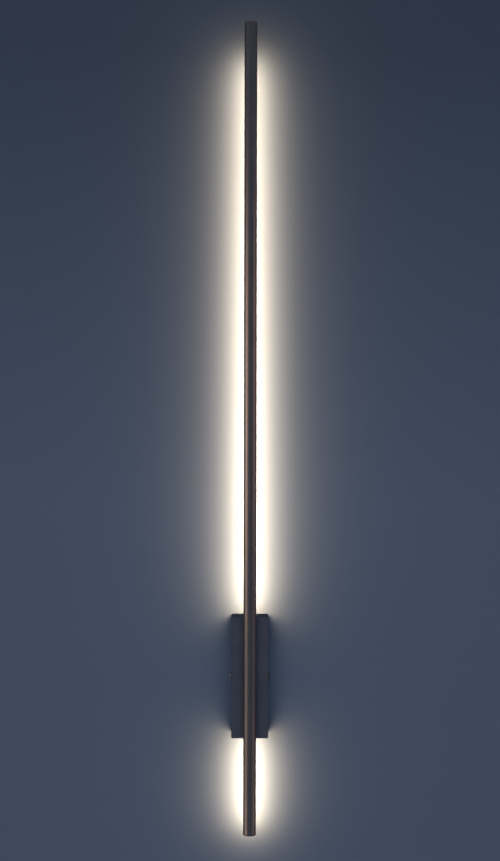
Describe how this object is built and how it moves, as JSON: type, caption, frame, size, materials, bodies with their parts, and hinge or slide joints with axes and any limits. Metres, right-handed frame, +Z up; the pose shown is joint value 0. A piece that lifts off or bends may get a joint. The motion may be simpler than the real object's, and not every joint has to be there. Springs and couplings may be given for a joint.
{
  "type": "tube wall light",
  "caption": "Slim vertical tube wall light that glows from its back onto the wall, on a rectangular canopy with a wall bracket.",
  "frame": {"origin": "on the wall, at the centre of the bracket's wall screw pattern and of the canopy's open back", "axes": "+Z up along the tube, +Y into the wall, +X to the right of someone facing the light"},
  "size_m": [0.0598, 0.0487, 1.2],
  "materials": {
    "coated_aluminium": "satin",
    "coated_steel": "satin",
    "black_screw": "satin",
    "opal_diffuser": "satin",
    "white_circuit_board": "matte",
    "led_package": "gloss",
    "zinc_steel": "satin",
    "tinned_copper": "satin",
    "brass": "satin",
    "black_rubber": "matte",
    "white_plastic": "satin",
    "natural_nylon": "satin",
    "green_circuit_board": "satin",
    "ferrite": "matte",
    "capacitor_sleeve": "gloss",
    "brown_wire": "satin",
    "blue_wire": "satin",
    "green_yellow_wire": "satin",
    "red_wire": "satin",
    "black_wire": "satin"
  },
  "bodies": {
    "wall_bracket": {"wall_bracket": "zinc_steel", "ear_nuts": "zinc_steel"},
    "lamp": {"tube_body": "coated_aluminium", "top_end_cap": "coated_aluminium", "bottom_end_cap": "coated_aluminium", "upper_diffuser": "opal_diffuser", "lower_diffuser": "opal_diffuser", "upper_led_board": "white_circuit_board", "lower_led_board": "white_circuit_board", "upper_led_chips": "led_package", "lower_led_chips": "led_package", "tube_nuts": "zinc_steel", "tube_fixing_screws": "zinc_steel", "tube_fixing_washers": "zinc_steel", "canopy": "coated_steel", "canopy_studs": "zinc_steel", "cable_grommet": "black_rubber", "driver_case": "white_plastic", "driver_lid": "white_plastic", "driver_board": "green_circuit_board", "driver_transformer": "ferrite", "driver_capacitors": "capacitor_sleeve", "terminal_block": "natural_nylon", "terminal_inserts": "brass", "terminal_screws": "zinc_steel", "stud_nuts": "zinc_steel", "earth_stud": "brass", "earth_terminal": "tinned_copper", "earth_nut": "brass", "earth_lead": "green_yellow_wire", "live_lead": "brown_wire", "neutral_lead": "blue_wire", "negative_lead": "black_wire", "positive_lead": "red_wire", "link_negative_lead": "black_wire", "link_positive_lead": "red_wire"},
    "side_screw_left": {"side_screw_left": "black_screw"},
    "side_screw_right": {"side_screw_right": "black_screw"}
  },
  "joints": [
    {"name": "lamp_release", "type": "slide", "parent": "wall_bracket", "child": "lamp", "axis": [0, -1, 0], "range_m": [0, 0.04]},
    {"name": "side_screw_left_travel", "type": "slide", "parent": "wall_bracket", "child": "side_screw_left", "axis": [-1, 0, 0], "range_m": [0, 0.0035]},
    {"name": "side_screw_right_travel", "type": "slide", "parent": "wall_bracket", "child": "side_screw_right", "axis": [1, 0, 0], "range_m": [0, 0.0035]}
  ]
}
